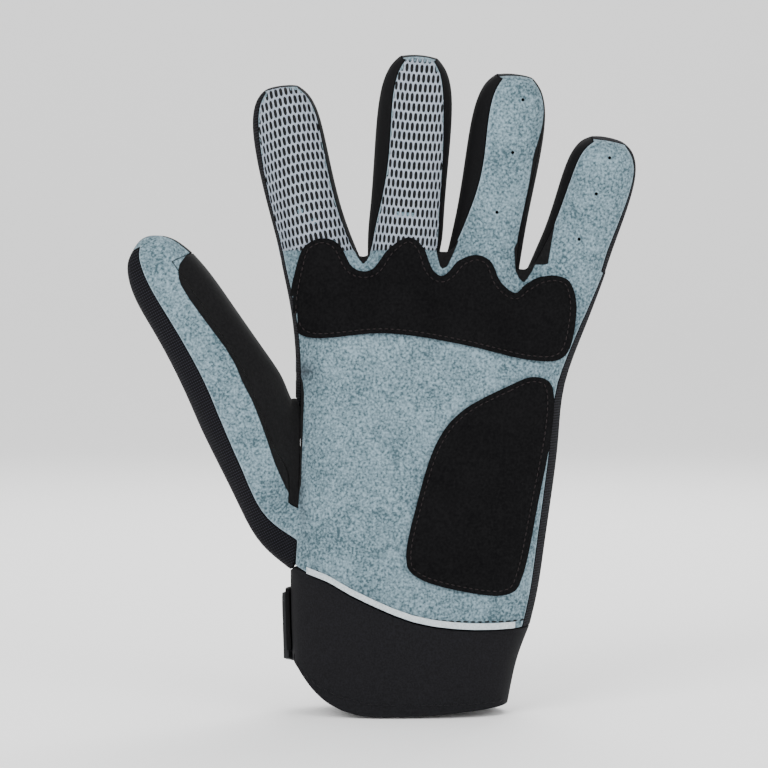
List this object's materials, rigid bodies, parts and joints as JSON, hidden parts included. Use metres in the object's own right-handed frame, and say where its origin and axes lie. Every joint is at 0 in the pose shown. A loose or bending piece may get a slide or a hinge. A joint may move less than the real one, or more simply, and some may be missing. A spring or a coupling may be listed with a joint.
{
  "type": "non-slip glove",
  "caption": "Long-finger cycling glove for the left hand, filled as worn, with grip pads on the palm, ribbed knit back and a fastened wrist strap.",
  "frame": {"origin": "middle of the cuff's open end, at the height of its lowest edge", "axes": "+Z towards the fingertips, -Y the way the palm looks, thumb at -X"},
  "size_m": [0.1865, 0.054, 0.242],
  "materials": {
    "suede": "grey-blue synthetic suede",
    "rib_knit": "black ribbed knit",
    "stretch": "smooth black stretch fabric",
    "black_suede": "black synthetic suede",
    "light_tape": "light grey tape",
    "neoprene": "black foam fabric",
    "strap": "black hook and loop strap",
    "strap_rubber": "moulded dark grey rubber"
  },
  "bodies": {
    "root": {"palm_panel": "suede", "back_panel": "rib_knit", "index_middle_side": "stretch", "middle_ring_side": "stretch", "ring_little_side": "stretch", "thumb_patch": "black_suede", "thumb_back": "stretch", "thumb_side": "rib_knit", "finger_base_pad": "black_suede", "heel_pad": "black_suede", "palm_hem": "light_tape", "cuff": "neoprene", "wrist_strap": "strap", "strap_badge": "strap_rubber"}
  },
  "joints": []
}
